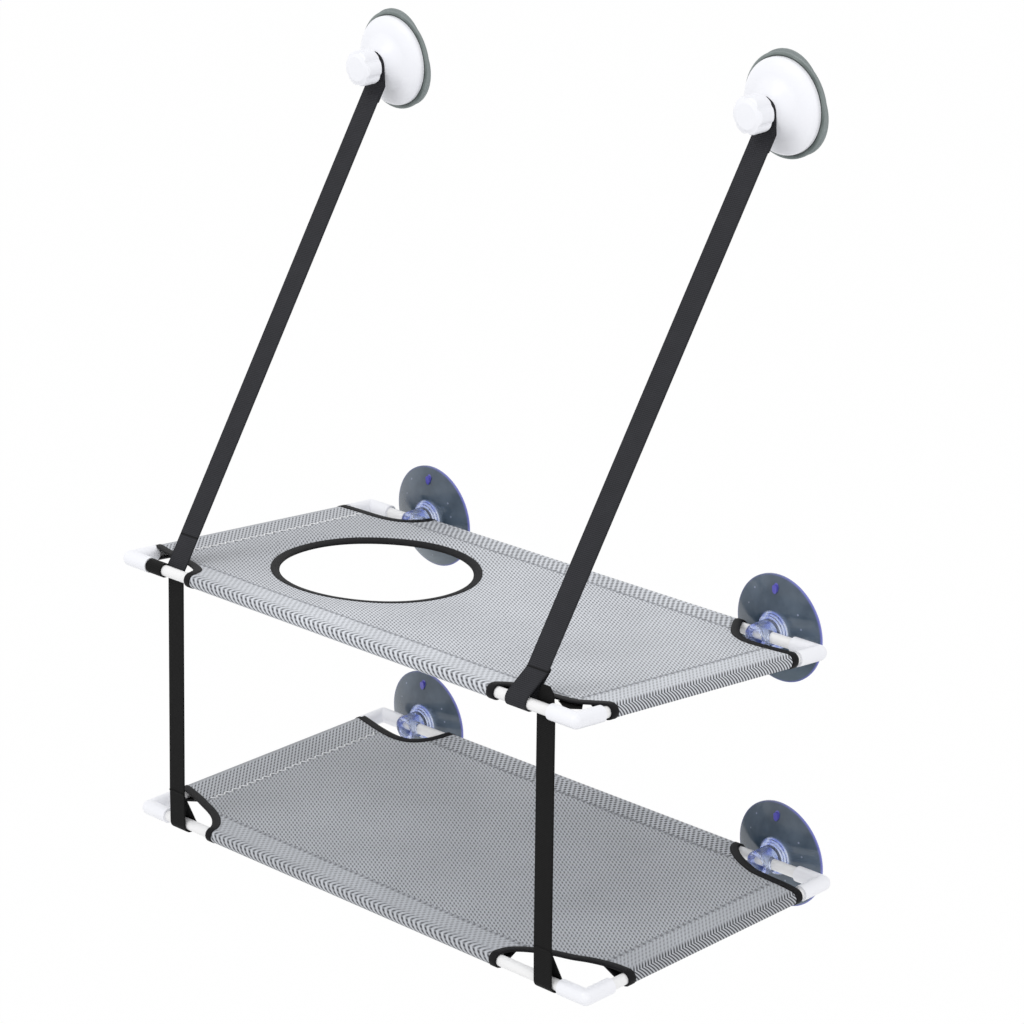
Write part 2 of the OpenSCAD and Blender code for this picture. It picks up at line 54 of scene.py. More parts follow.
# Everything is in metres, on the frame's own axes: X along the pane, Y into the glass, Z up
perch = {
    "width": 0.572,  # between the side tubes' centre lines
    "depth": 0.288,  # between the front and rear tubes' centre lines
    "standoff": 0.022,  # from the glass to the rear tubes
    "lowerDrop": 0.215,
    "upperTilt": 6,  # degrees
}
halfWidth, halfDepth = perch["width"] / 2, perch["depth"] / 2
cupHeights = {"left": 0.436, "right": 0.464}
cupAcross = 0.240
clearCups = {"upper_clear_cup_left": -0.220, "upper_clear_cup_right": 0.222,
             "lower_clear_cup_left": -0.244, "lower_clear_cup_right": 0.218}
sides = {"left": -1, "right": 1}


def startMaterial(name, colour, roughness=0.5):
    material = bpy.data.materials.new(name)
    material.use_nodes = True
    shader = material.node_tree.nodes["Principled BSDF"]
    shader.inputs["Base Color"].default_value = (*colour, 1)
    shader.inputs["Roughness"].default_value = roughness
    return material, material.node_tree, shader


def feed(tree, socket, value):
    if isinstance(value, bpy.types.NodeSocket):
        tree.links.new(value, socket)
    elif value is not None:
        socket.default_value = value


def calculate(tree, operation, a, b=None, c=None):
    node = tree.nodes.new("ShaderNodeMath")
    node.operation = operation
    for socket, value in zip(node.inputs, (a, b, c)):
        feed(tree, socket, value)
    return node.outputs[0]


def multiply(tree, a, b):
    return calculate(tree, "MULTIPLY", a, b)


def add(tree, a, b):
    return calculate(tree, "ADD", a, b)


def subtract(tree, a, b):
    return calculate(tree, "SUBTRACT", a, b)


def absolute(tree, a):
    return calculate(tree, "ABSOLUTE", a)


def rescale(tree, value, fromLow, fromHigh, toLow=0.0, toHigh=1.0, smooth=True):
    node = tree.nodes.new("ShaderNodeMapRange")
    node.interpolation_type = "SMOOTHSTEP" if smooth else "LINEAR"
    for socket, number in zip(node.inputs, (value, fromLow, fromHigh, toLow, toHigh)):
        feed(tree, socket, number)
    return node.outputs[0]


def mixColours(tree, share, first, second):
    node = tree.nodes.new("ShaderNodeMix")
    node.data_type = "RGBA"
    feed(tree, node.inputs[0], share)
    for index, value in ((6, first), (7, second)):
        feed(tree, node.inputs[index], (*value, 1) if isinstance(value, tuple) else value)
    return node.outputs[2]


def noiseOn(tree, place, scale, detail=2.0):
    node = tree.nodes.new("ShaderNodeTexNoise")
    feed(tree, node.inputs["Vector"], place)
    node.inputs["Scale"].default_value = scale
    node.inputs["Detail"].default_value = detail
    return node.outputs["Fac"]


def objectPlace(tree, centre=(0, 0, 0)):
    where = tree.nodes.new("ShaderNodeTexCoord").outputs["Object"]
    if centre == (0, 0, 0):
        return where
    node = tree.nodes.new("ShaderNodeMapping")
    tree.links.new(where, node.inputs["Vector"])
    node.inputs["Location"].default_value = [-part for part in centre]
    return node.outputs[0]


def clothPlace(tree):
    node = tree.nodes.new("ShaderNodeUVMap")
    node.uv_map = "cloth"
    return node.outputs[0]


def splitPlace(tree, place):
    node = tree.nodes.new("ShaderNodeSeparateXYZ")
    tree.links.new(place, node.inputs[0])
    return node.outputs[0], node.outputs[1], node.outputs[2]


def wave(tree, value, pitch, phase=0.0):
    return calculate(tree, "COSINE", calculate(tree, "MULTIPLY_ADD", value, 2 * math.pi / pitch, phase))


def slantedWave(tree, x, y, perX, perY):
    # perX and perY: how many waves pass in a metre of each
    turns = add(tree, multiply(tree, x, perX), multiply(tree, y, perY))
    return wave(tree, turns, 1.0)


def blend(tree, share, first, second):
    gap = subtract(tree, second, first)
    return calculate(tree, "MULTIPLY_ADD", gap, share, first)


def addBump(tree, shader, height, distance, strength=1.0):
    node = tree.nodes.new("ShaderNodeBump")
    node.inputs["Strength"].default_value = strength
    node.inputs["Distance"].default_value = distance
    tree.links.new(height, node.inputs["Height"])
    tree.links.new(node.outputs[0], shader.inputs["Normal"])


meshLook = {
    "thread": (0.765, 0.795, 0.85),
    "shade": (0.52, 0.54, 0.58),
    # The gap colour is painted shade: the dark seen through the openings between threads
    "gap": (0.065, 0.068, 0.08),
    "roughness": 0.62,
    "lines": (133, 302),  # waves in a metre, across and along
    "crossLines": (251, 155),
    "columns": (224, 235),
    "rows": (196, 0),
    "diamonds": (0.0058, 0.0072),
    "endDots": (0.42, 0.95),  # how dark the dots are along the front and the rear
    "sideDots": (1.0, 0.5),  # and along the left and the right
    "middle": 0.01,  # half the width over which one side's look gives way to the other's
    "roll": (-0.0035, -0.0005),  # from flat cloth to the teeth, from a tube's centre line outwards
    "teeth": (0.0060, 0.0034),  # along the front and rear, along the sides
    "teethSlant": 0.9,
    "teethTurn": 0.0042,  # past a tube's centre line, where the slant turns round
    "strandPitch": 0.0031,
    "stitchPitch": 0.0069,
    "leftSeam": (-0.24, -0.22),  # from the left seam's look to the others'
    "leftStitches": 1.5,  # how many times closer together they are on the left seam
    "needles": (0.8, 0.7),  # how dark, on the left seam and on the others
    "leftShadow": (-0.06, -0.24),
    "grain": 620.0,
    "clouds": 9.0,
    "relief": 0.0005,
}
seamInsets = {"plain": 0.024, "upperLeft": 0.031, "lowerLeft": 0.040}  # from the tubes' centre lines


def meshLines(tree, across, along, grain):
    # Fine slanted lines over the single layer
    lines = multiply(tree, slantedWave(tree, across, along, *meshLook["lines"]), 0.55)
    crossed = multiply(tree, slantedWave(tree, across, along, *meshLook["crossLines"]), 0.45)
    return multiply(tree, rescale(tree, add(tree, crossed, lines), -0.35, 0.75),
                    rescale(tree, grain, 0.3, 0.65, 0.5, 0.95))


def meshDots(tree, across, along, overSide):
    # Dots where two layers lie on each other, faint along the front and the right; their dark is painted shade seen
    # through the openings
    columns = rescale(tree, slantedWave(tree, across, along, *meshLook["columns"]), -0.6, 0.9)
    rows = rescale(tree, slantedWave(tree, across, along, *meshLook["rows"]), -0.8, 0.6, 0.35, 1.0)
    pitchAcross, pitchAlong = meshLook["diamonds"]
    diamonds = multiply(tree, wave(tree, across, pitchAcross), wave(tree, along, pitchAlong))
    dots = blend(tree, overSide, rescale(tree, diamonds, -0.2, 0.55), multiply(tree, columns, rows))
    middle = meshLook["middle"]
    dark = blend(tree, overSide, rescale(tree, along, -middle, middle, *meshLook["endDots"]),
                 rescale(tree, across, -middle, middle, *meshLook["sideDots"]))
    return multiply(tree, dots, dark)


def meshTeeth(tree, nearer, edgePlace, overSide):
    # Slanted teeth on the rolled edge, which turn the other way under the rail
    slant = multiply(tree, absolute(tree, subtract(tree, nearer, meshLook["teethTurn"])), meshLook["teethSlant"])
    slanted = subtract(tree, edgePlace, slant)
    endTeeth = rescale(tree, wave(tree, slanted, meshLook["teeth"][0]), -0.3, 0.5)
    strands = rescale(tree, wave(tree, nearer, meshLook["strandPitch"]), -0.9, 0.7, 0.6, 1.0)
    # The teeth darken further round the roll, towards its underside: painted shade
    endTeeth = multiply(tree, multiply(tree, endTeeth, strands), rescale(tree, nearer, -0.001, 0.007, 0.7, 1.05))
    sideTeeth = rescale(tree, wave(tree, slanted, meshLook["teeth"][1]), -0.5, 0.5)
    # On the sides too, the teeth darken further round the roll: painted shade
    sideTeeth = multiply(tree, sideTeeth, rescale(tree, nearer, -0.001, 0.003, 0.6, 1.15))
    return blend(tree, overSide, endTeeth, sideTeeth)


def meshNeedles(tree, across, edgePlace, pastSeam):
    # Needle holes between the stitches of the seam, dark with painted shade
    onSeam = multiply(tree, rescale(tree, absolute(tree, pastSeam), 0.0025, 0.0015),
                      rescale(tree, across, *meshLook["leftSeam"], *meshLook["needles"]))
    closer = rescale(tree, across, *meshLook["leftSeam"], meshLook["leftStitches"], 1.0)
    holes = wave(tree, multiply(tree, edgePlace, closer), meshLook["stitchPitch"])
    return multiply(tree, onSeam, rescale(tree, holes, 0.15, -0.35))


def makeMeshCloth(name, tone, leftInset, leftShade):
    thread, shade, gap = (tuple(part * tone for part in meshLook[key]) for key in ("thread", "shade", "gap"))
    material, tree, shader = startMaterial(name, thread, meshLook["roughness"])
    across, along, _ = splitPlace(tree, clothPlace(tree))
    farAcross = subtract(tree, absolute(tree, across), halfWidth)
    farAlong = subtract(tree, absolute(tree, along), halfDepth)
    nearer = calculate(tree, "MAXIMUM", farAcross, farAlong)
    overSide = rescale(tree, subtract(tree, farAcross, farAlong), -0.0001, 0.0001)
    edgePlace = blend(tree, overSide, across, along)
    sideInset = rescale(tree, across, -meshLook["middle"], meshLook["middle"], leftInset, seamInsets["plain"])
    pastSeam = calculate(tree, "MAXIMUM", add(tree, farAcross, sideInset), add(tree, farAlong, seamInsets["plain"]))
    doubled = rescale(tree, pastSeam, -0.0006, 0.0006)
    rolled = rescale(tree, nearer, *meshLook["roll"])
    grain = noiseOn(tree, clothPlace(tree), meshLook["grain"])
    flat = blend(tree, doubled, meshLines(tree, across, along, grain), meshDots(tree, across, along, overSide))
    weave = blend(tree, rolled, flat, meshTeeth(tree, nearer, edgePlace, overSide))
    weave = calculate(tree, "MAXIMUM", weave, meshNeedles(tree, across, edgePlace, pastSeam))
    cloudy = rescale(tree, noiseOn(tree, clothPlace(tree), meshLook["clouds"], 4.0), 0.3, 0.7, smooth=False)
    ground = mixColours(tree, multiply(tree, cloudy, 0.5), thread, shade)
    ground = mixColours(tree, rescale(tree, grain, 0.4, 0.7, 0.0, 0.55), ground, shade)
    ground = mixColours(tree, rescale(tree, across, *meshLook["leftShadow"], 0.0, leftShade), ground, shade)
    # Where the weave opens, the gap colour paints in shade
    tree.links.new(mixColours(tree, weave, ground, gap), shader.inputs["Base Color"])
    addBump(tree, shader, subtract(tree, 1.0, weave), meshLook["relief"], 0.4)
    shader.inputs["Sheen Weight"].default_value = 0.1
    shader.inputs["Sheen Roughness"].default_value = 0.45
    return material


webbingLook = {
    "roughness": 0.68,
    "shine": 0.14,
    "ribPitch": 0.0016,
    "threadPitch": 0.0011,
    "selvedge": 0.0022,
    "crease": 0.0570,  # height of the sewn fold over the front rail
    # The next colour is painted shade along the sewn fold
    "creaseShade": (0.002, 0.002, 0.002),
    "wear": 60.0,
    "relief": 0.00022,
}
strapWidths = {"hanging": 0.0238, "dropping": 0.0208}


def makeWebbing(name, colour, width):
    material, tree, shader = startMaterial(name, colour, webbingLook["roughness"])
    across, along, _ = splitPlace(tree, clothPlace(tree))
    ribs = wave(tree, along, webbingLook["ribPitch"])
    twill = wave(tree, add(tree, absolute(tree, across), along), webbingLook["threadPitch"] * 2)
    threads = wave(tree, across, webbingLook["threadPitch"])
    relief = add(tree, multiply(tree, ribs, 0.5), add(tree, multiply(tree, twill, 0.3), multiply(tree, threads, 0.2)))
    edge = rescale(tree, absolute(tree, across), width / 2 - webbingLook["selvedge"], width / 2)
    lift = rescale(tree, relief, -0.8, 0.9)
    worn = rescale(tree, noiseOn(tree, clothPlace(tree), webbingLook["wear"], 5.0), 0.35, 0.75)
    light = tuple(part * 1.4 + 0.002 for part in colour)
    dark = tuple(part * 0.6 for part in colour)
    body = mixColours(tree, lift, dark, light)
    body = mixColours(tree, multiply(tree, worn, 0.25), body, light)
    body = mixColours(tree, multiply(tree, edge, 0.5), body, dark)
    # A near-black line at the sewn fold's height: painted shade in the crease
    _, _, height = splitPlace(tree, objectPlace(tree))
    fold = rescale(tree, absolute(tree, subtract(tree, height, webbingLook["crease"])), 0.0011, 0.0004)
    body = mixColours(tree, multiply(tree, fold, 0.8), body, webbingLook["creaseShade"])
    tree.links.new(body, shader.inputs["Base Color"])
    addBump(tree, shader, relief, webbingLook["relief"], 0.6)
    shader.inputs["Specular IOR Level"].default_value = webbingLook["shine"]
    return material


tapeLook = {"roughness": 0.6, "shine": 0.14, "ribPitch": 0.0009, "stitchPitch": 0.0032,
            "stitchInset": 0.0062, "relief": 0.0003}


def makeTape(name, colour):
    material, tree, shader = startMaterial(name, colour, tapeLook["roughness"])
    across, along, _ = splitPlace(tree, clothPlace(tree))
    fromRow = absolute(tree, subtract(tree, across, tapeLook["stitchInset"]))
    stitchRow = subtract(tree, 1.0, rescale(tree, fromRow, 0.0002, 0.0006))
    stitches = multiply(tree, stitchRow, rescale(tree, wave(tree, along, tapeLook["stitchPitch"]), -0.3, 0.3))
    lift = multiply(tree, rescale(tree, wave(tree, along, tapeLook["ribPitch"]), -1.0, 1.0), 0.4)
    light = tuple(part * 2.2 + 0.004 for part in colour)
    body = mixColours(tree, lift, colour, light)
    body = mixColours(tree, multiply(tree, stitches, 0.7), body, light)
    tree.links.new(body, shader.inputs["Base Color"])
    addBump(tree, shader, add(tree, lift, stitches), tapeLook["relief"], 0.5)
    shader.inputs["Specular IOR Level"].default_value = tapeLook["shine"]
    return material


plasticLook = {"clouds": 22.0, "dust": 160.0, "shine": 90.0, "grain": 900.0, "relief": 0.00006}


def makePlastic(name, colour, roughness, shade):
    material, tree, shader = startMaterial(name, colour, roughness)
    place = objectPlace(tree)
    cloudy = rescale(tree, noiseOn(tree, place, plasticLook["clouds"], 4.0), 0.35, 0.75)
    dusty = rescale(tree, noiseOn(tree, place, plasticLook["dust"], 3.0), 0.55, 0.8)
    body = mixColours(tree, multiply(tree, cloudy, 0.5), colour, shade)
    body = mixColours(tree, multiply(tree, dusty, 0.25), body, shade)
    tree.links.new(body, shader.inputs["Base Color"])
    rough = rescale(tree, noiseOn(tree, place, plasticLook["shine"]), 0.3, 0.7, roughness - 0.05, roughness + 0.08)
    tree.links.new(rough, shader.inputs["Roughness"])
    addBump(tree, shader, noiseOn(tree, place, plasticLook["grain"]), plasticLook["relief"], 0.35)
    return material


def radiusOn(tree, centre):
    x, _, z = splitPlace(tree, objectPlace(tree, centre))
    return calculate(tree, "SQRT", add(tree, multiply(tree, x, x), multiply(tree, z, z)))


vinylLook = {
    # disc: the vinyl's blue tint, darkened with painted shade from the glass behind it
    "disc": (0.056, 0.086, 0.125),
    "cloud": (0.13, 0.175, 0.235),
    # lower: the disc lighter below the deck, painted light coming through it
    "lower": (0.21, 0.27, 0.32),
    "lowerFrom": (-0.012, -0.042),  # heights from the cup's middle
    "bubble": (0.45, 0.50, 0.72),
    "bubbleScale": 75.0,
    # neck: near-white, painted highlight on the neck; neckDeep: its blue tint
    "neck": (0.76, 0.83, 0.99),
    "neckDeep": (0.26, 0.34, 0.80),
    "neckEdge": 0.0170,
    "neckBlur": 0.0012,
    "rim": (0.22, 0.24, 0.72),
    "rimFrom": (0.0470, 0.0492),
    "tab": (0.13, 0.12, 0.62),
    "tabHeight": 0.0375,
    "tabRadius": 0.0052,
    "roughness": 0.16,
    "index": 1.46,
    "clear": (0.22, 0.86),  # how much light the disc and the neck let through
}


def makeClearVinyl(name, centre):
    look = vinylLook
    material, tree, shader = startMaterial(name, look["disc"], look["roughness"])
    radius = radiusOn(tree, centre)
    place = objectPlace(tree, centre)
    x, _, z = splitPlace(tree, place)
    cloudy = rescale(tree, noiseOn(tree, place, 38.0, 4.0), 0.3, 0.75)
    disc = mixColours(tree, multiply(tree, cloudy, 0.75), look["disc"], look["cloud"])
    bubbles = tree.nodes.new("ShaderNodeTexVoronoi")
    tree.links.new(place, bubbles.inputs["Vector"])
    bubbles.inputs["Scale"].default_value = look["bubbleScale"]
    spots = rescale(tree, bubbles.outputs["Distance"], 0.09, 0.05)
    disc = mixColours(tree, multiply(tree, spots, 0.5), disc, look["bubble"])
    # Lighter towards the bottom: painted light through the vinyl
    disc = mixColours(tree, rescale(tree, z, *look["lowerFrom"], 0.0, 0.55), disc, look["lower"])
    fromTab = add(tree, calculate(tree, "POWER", multiply(tree, x, 1.5), 2.0),
                  calculate(tree, "POWER", subtract(tree, z, look["tabHeight"]), 2.0))
    onTab = rescale(tree, calculate(tree, "SQRT", fromTab), look["tabRadius"], look["tabRadius"] - 0.0014)
    disc = mixColours(tree, onTab, disc, look["tab"])
    # The rim's colour is painted strongest on the right: the tint is real, its one-sided strength painted light
    onRim = multiply(tree, rescale(tree, radius, *look["rimFrom"]), rescale(tree, x, -0.02, 0.03, 0.3, 1.0))
    body = mixColours(tree, onRim, disc, look["rim"])
    onNeck = rescale(tree, radius, look["neckEdge"] + look["neckBlur"], look["neckEdge"] - look["neckBlur"])
    # Over the neck, the blue tint is mottled with near-white patches: painted highlights
    neckHighlights = rescale(tree, noiseOn(tree, place, 95.0), 0.42, 0.58)
    body = mixColours(tree, onNeck, body, mixColours(tree, neckHighlights, look["neckDeep"], look["neck"]))
    tree.links.new(body, shader.inputs["Base Color"])
    clear = rescale(tree, radius, look["neckEdge"] + 0.002, look["neckEdge"] - 0.001, *look["clear"])
    tree.links.new(clear, shader.inputs["Transmission Weight"])
    shader.inputs["IOR"].default_value = look["index"]
    shader.inputs["Coat Weight"].default_value = 0.35
    shader.inputs["Coat Roughness"].default_value = 0.08
    addBump(tree, shader, add(tree, noiseOn(tree, place, 55.0), spots), 0.0004, 0.22)
    return material


rubberLook = {
    "body": (0.19, 0.23, 0.225),
    "dark": (0.10, 0.13, 0.125),
    "light": (0.27, 0.32, 0.31),
    "rim": (0.28, 0.32, 0.32),
    "rimFrom": (0.0430, 0.0446),
    "capShadow": (0.05, 0.062, 0.062),  # painted shadow at the cap's edge, reaching under it
    "capShadowTo": (0.0426, 0.0418),
    "roughness": 0.34,
    "index": 1.5,
    "clear": 0.25,
}


def makeRubber(name, centre):
    look = rubberLook
    material, tree, shader = startMaterial(name, look["body"], look["roughness"])
    radius = radiusOn(tree, centre)
    cloudy = rescale(tree, noiseOn(tree, objectPlace(tree, centre), 45.0, 4.0), 0.3, 0.75)
    body = mixColours(tree, cloudy, look["dark"], look["light"])
    body = mixColours(tree, rescale(tree, radius, *look["rimFrom"]), body, look["rim"])
    # Painted shadow along the cap's edge, dark just outside it
    body = mixColours(tree, rescale(tree, radius, *look["capShadowTo"]), body, look["capShadow"])
    tree.links.new(body, shader.inputs["Base Color"])
    shader.inputs["Transmission Weight"].default_value = look["clear"]
    shader.inputs["IOR"].default_value = look["index"]
    rings = calculate(tree, "SINE", multiply(tree, radius, 3600.0))
    addBump(tree, shader, add(tree, multiply(tree, rings, 0.3), cloudy), 0.0003, 0.3)
    return material


def makeThread(name, bright, faint):
    # Bright on the left seams, close to the cloth's own tone on the others
    material, tree, shader = startMaterial(name, bright, 0.6)
    place = objectPlace(tree)
    x, _, _ = splitPlace(tree, place)
    body = mixColours(tree, rescale(tree, x, -0.240, -0.230), bright, faint)
    fuzzy = rescale(tree, noiseOn(tree, place, 700.0), 0.35, 0.7, 0.0, 0.4)
    tree.links.new(mixColours(tree, fuzzy, body, faint), shader.inputs["Base Color"])
    addBump(tree, shader, noiseOn(tree, place, 1500.0), 0.0001, 0.4)
    return material


def makeSteel(name):
    material, tree, shader = startMaterial(name, (0.62, 0.62, 0.63), 0.28)
    shader.inputs["Metallic"].default_value = 1.0
    place = objectPlace(tree)
    _, y, _ = splitPlace(tree, place)
    tree.links.new(rescale(tree, noiseOn(tree, place, 400.0), 0.3, 0.7, 0.2, 0.4), shader.inputs["Roughness"])
    addBump(tree, shader, wave(tree, y, 0.001), 0.00008, 0.4)
    return material


upperCloth = makeMeshCloth("upperMeshCloth", 1.0, seamInsets["upperLeft"], 0.85)
lowerCloth = makeMeshCloth("lowerMeshCloth", 0.76, seamInsets["lowerLeft"], 0.2)
upperWebbing = makeWebbing("upperWebbing", (0.026, 0.0265, 0.031), strapWidths["hanging"])
lowerWebbing = makeWebbing("lowerWebbing", (0.0045, 0.0045, 0.0045), strapWidths["dropping"])
blackTape = makeTape("blackTape", (0.005, 0.005, 0.006))
seamThread = makeThread("seamThread", (0.90, 0.91, 0.93), (0.44, 0.455, 0.49))
whitePvc = makePlastic("whitePvc", (0.90, 0.90, 0.905), 0.36, (0.86, 0.86, 0.87))
whiteMoulding = makePlastic("whiteMoulding", (0.915, 0.922, 0.965), 0.34, (0.88, 0.89, 0.94))
steel = makeSteel("platedSteel")
print("materials made")


def makeGrid(across, along, size):
    # A flat grid, one metre by one metre round the origin, whose own UV map holds metres of cloth
    grid = bmesh.new()
    bmesh.ops.create_grid(grid, x_segments=across, y_segments=along, size=0.5)
    uv = grid.loops.layers.uv.new("cloth")
    for face in grid.faces:
        for loop in face.loops:
            loop[uv].uv = (loop.vert.co.x * size[0], loop.vert.co.y * size[1])
    return grid, uv


def finishPiece(name, mesh, material, smooth=True, recalculate=True):
    if recalculate:
        bmesh.ops.recalc_face_normals(mesh, faces=mesh.faces)
    data = bpy.data.meshes.new(name)
    mesh.to_mesh(data)
    mesh.free()
    for polygon in data.polygons:
        polygon.use_smooth = smooth
    piece = bpy.data.objects.new(name, data)
    bpy.context.scene.collection.objects.link(piece)
    data.materials.append(material)
    return piece


def thicken(piece, thickness, bevel=0.0):
    solid = piece.modifiers.new("thickness", "SOLIDIFY")
    solid.thickness = thickness
    solid.offset = 0
    solid.use_even_offset = True
    if bevel:
        rounded = piece.modifiers.new("edges", "BEVEL")
        rounded.width = bevel
        rounded.segments = 2
        rounded.limit_method = "ANGLE"
        rounded.angle_limit = math.radians(50)


cloth = {
    "midRadius": 0.0059,  # of the cloth round a tube
    "thickness": 0.0009,
    "layerGap": 0.0010,  # from the upper layer's middle to the lower one's at the seam
    "sag": 0.0035,
    "ripple": 0.0006,
    "panelCells": (128, 64),
    "rollCells": 14,
    "legCells": 5,
}
hole = {"radius": 0.087, "across": -0.121, "along": 0.005, "steps": 220}
droop = {"far": 0.0042, "farReach": 0.020, "near": 0.0052, "nearReach": 0.075, "calm": 0.040}
notchSteps = {"tape": 0.0022, "hidden": 0.004, "smooth": 8, "beyond": 0.09}
# Cut edges in mm from the side tube and from the front or rear tube, by deck and by sign of X and Y
cutEdges = {
    ("upper", 1, -1): [(90, 0), (82, 6.5), (66, 9.5), (50, 11.5), (36, 13), (20, 17), (9, 25.5), (0, 34)],
    ("upper", -1, -1): [(83, 0), (79, 7.5), (69, 12.5), (54, 16.5), (36, 20), (19, 22.5), (0, 27)],
    ("upper", 1, 1): [(88, 0), (83, 7), (71, 22), (59, 31), (45, 35), (24, 34), (0, 31)],
    ("upper", -1, 1): [(81, 0), (79.5, 9), (72, 19.5), (60, 26), (44, 29), (21, 30), (0, 31)],
    ("lower", 1, -1): [(101, 0), (98, 9), (87, 18), (70, 26), (50, 32), (34, 38.5), (16, 43), (0, 44)],
    ("lower", -1, -1): [(88, 0), (83, 6), (74, 13), (62, 19), (45, 25), (24, 32), (0, 38)],
    ("lower", 1, 1): [(97, 0), (93, 6), (82, 14), (67, 21.5), (50, 27), (30, 29), (14, 30), (0, 32)],
    ("lower", -1, 1): [(91, 0), (88.5, 14), (83, 26), (73, 33), (57, 34.5), (34, 31), (15, 26.5), (0, 23)],
}


def makeFlap(inset):
    # The lower layer leaves the tube on a tangent that meets the seam
    x, z = inset, cloth["midRadius"] - cloth["layerGap"]
    far = math.hypot(x, z)
    turn = math.radians(270) + math.atan2(z, x) - math.acos(cloth["midRadius"] / far)
    roll = cloth["midRadius"] * turn
    leg = math.sqrt(far * far - cloth["midRadius"] ** 2)
    return {"turn": turn, "roll": roll, "leg": leg, "length": roll + leg}


flaps = {name: makeFlap(inset) for name, inset in seamInsets.items()}


def deckPoint(deck, point):
    # From a deck's own axes (across, towards the glass from the rear tube, up) to the frame's
    tilt = math.radians(-perch["upperTilt"] if deck == "upper" else 0)
    drop = 0 if deck == "upper" else perch["lowerDrop"]
    x, y, z = point
    return Vector((x, y * math.cos(tilt) - z * math.sin(tilt) - perch["standoff"],
                   y * math.sin(tilt) + z * math.cos(tilt) - drop))


def sideName(deck, sign):
    return deck + "Left" if sign < 0 else "plain"


def wrapped(far, half, lift, flap):
    # Where cloth goes that runs a distance past a rail's top: round the tube, then back to the seam
    over = abs(far) - half
    way = 1 if far > 0 else -1
    radius = cloth["midRadius"]
    if over <= 0:
        return far, radius + lift, 0.0
    turn = min(over / radius, flap["turn"])
    out, up = math.sin(turn), math.cos(turn)
    leg = max(0.0, over - flap["roll"])
    x = half + (radius + lift) * out + leg * math.cos(turn)
    z = (radius + lift) * up - leg * math.sin(turn)
    return way * x, z, min(1.0, leg / flap["leg"])


def sagAt(deck, x, y):
    # x and y from the panel's middle
    shape = max(0.0, 1 - (x / halfWidth) ** 2) ** 2 * max(0.0, 1 - (y / halfDepth) ** 2) ** 1.5
    wavy = noise.noise(Vector((x * 14, y * 14, 3.1 if deck == "upper" else 8.4))) * cloth["ripple"]
    wavy *= min(1.0, 4 * max(0.0, 1 - abs(x) / halfWidth), 4 * max(0.0, 1 - abs(y) / halfDepth))
    fall = -cloth["sag"] * shape + wavy
    if deck == "upper":
        gone = math.hypot(x - hole["across"], y - hole["along"]) - hole["radius"]
        # The edge nearest the front right hangs a little lower, over a longer stretch of cloth
        slanted = (x - hole["across"]) - (y - hole["along"])
        towardsFront = 0.5 + 0.35 * slanted / max(hole["radius"], gone + hole["radius"])
        towardsFront = max(0.0, min(1.0, towardsFront))
        depth = droop["far"] + (droop["near"] - droop["far"]) * towardsFront
        reach = droop["farReach"] + (droop["nearReach"] - droop["farReach"]) * towardsFront
        calm = min(1.0, min(halfWidth - abs(x), halfDepth - abs(y)) / droop["calm"])
        fall -= depth * max(0.0, 1 - max(0.0, gone) / reach) ** 2 * calm
    return fall


def onCloth(deck, flat, lift=0.0):
    # A point of the flat cloth, whose middle is the deck's, in its place on the deck
    x, zx, underX = wrapped(flat[0], halfWidth, lift, flaps[sideName(deck, flat[0])])
    y, zy, underY = wrapped(flat[1], halfDepth, lift, flaps["plain"])
    overX, overY = abs(flat[0]) - halfWidth, abs(flat[1]) - halfDepth
    z = zx if overX > overY else zy
    under = underX if overX > overY else underY
    if overX <= 0 and overY <= 0:
        z += sagAt(deck, x, y)
    elif under > 0:
        z += sagAt(deck, x, y) * under
    return deckPoint(deck, (x, y - halfDepth, z))


def flapLines(half, flap):
    # Close together where the cloth turns round a tube
    roll = [half + flap["roll"] * k / cloth["rollCells"] for k in range(1, cloth["rollCells"] + 1)]
    leg = [half + flap["roll"] + flap["leg"] * k / cloth["legCells"] for k in range(1, cloth["legCells"] + 1)]
    return roll + leg


def clothLines(half, panelCells, lowFlap):
    # Flat places of the grid's lines
    panel = [-half + 2 * half * k / panelCells for k in range(panelCells + 1)]
    return [-place for place in flapLines(half, lowFlap)[::-1]] + panel + flapLines(half, flaps["plain"])


def smoothLine(points, steps):
    # A curve through the points, with its ends straight
    points = [Vector(point) for point in points]
    ends = [points[0] * 2 - points[1]] + points + [points[-1] * 2 - points[-2]]
    made = []
    for a, b, c, d in zip(ends, ends[1:], ends[2:], ends[3:]):
        for k in range(steps):
            t = k / steps
            made.append(((b * 2) + (c - a) * t + (a * 2 - b * 5 + c * 4 - d) * t * t
                         + (b * 3 - a - c * 3 + d) * t * t * t) / 2)
    return made + [points[-1]]


def evenly(line, step):
    # The same line with points about a step apart
    made = [line[0]]
    for before, after in zip(line, line[1:]):
        count = max(1, round((after - before).length / step))
        made += [before.lerp(after, k / count) for k in range(1, count + 1)]
    return made


